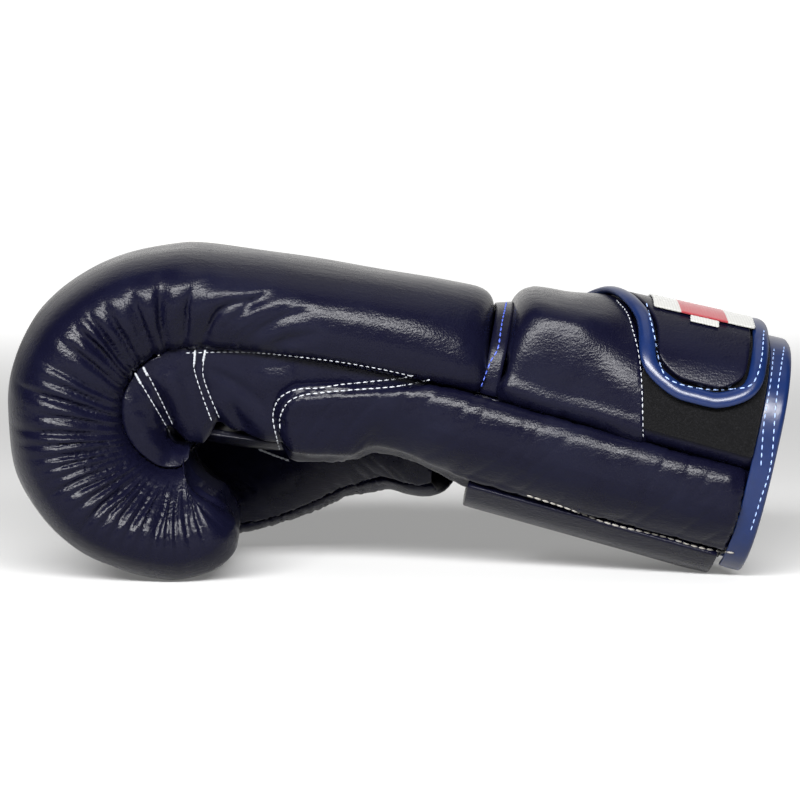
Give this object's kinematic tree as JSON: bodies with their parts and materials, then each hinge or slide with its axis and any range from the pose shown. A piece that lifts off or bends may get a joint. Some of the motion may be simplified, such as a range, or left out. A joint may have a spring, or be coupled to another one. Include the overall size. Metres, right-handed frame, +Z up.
{
  "type": "boxing glove",
  "caption": "Padded left-hand boxing glove with a gathered foam fist, separate thumb, tilted padded cuff and a tapered hook-and-loop closing strap.",
  "frame": {"origin": "on the surface the glove stands on, under the middle of its bounding box", "axes": "+X from the fist towards the cuff, +Y to the thumb side, +Z up through the back of the hand"},
  "size_m": [0.3296, 0.153, 0.1404],
  "materials": {
    "leather": "glossy dark navy leather",
    "loop_pile": "black loop pile of the hook-and-loop closure",
    "binding": "glossy blue vinyl binding",
    "label": "white woven label cloth"
  },
  "bodies": {
    "root": {"back_padding": "leather", "thumb_side": "leather", "little_finger_side": "leather", "palm_panel": "leather", "palm_tongue": "leather", "wrist_seam_strip": "leather", "cuff_back": "leather", "wrist_pad_little": "leather", "wrist_pad_thumb": "leather", "thumb_outer": "leather", "thumb_inner": "leather", "loop_tape": "loop_pile", "strap": "leather", "strap_binding": "binding", "strap_label": "label", "size_tag": "label", "cuff_binding": "binding"}
  },
  "joints": []
}
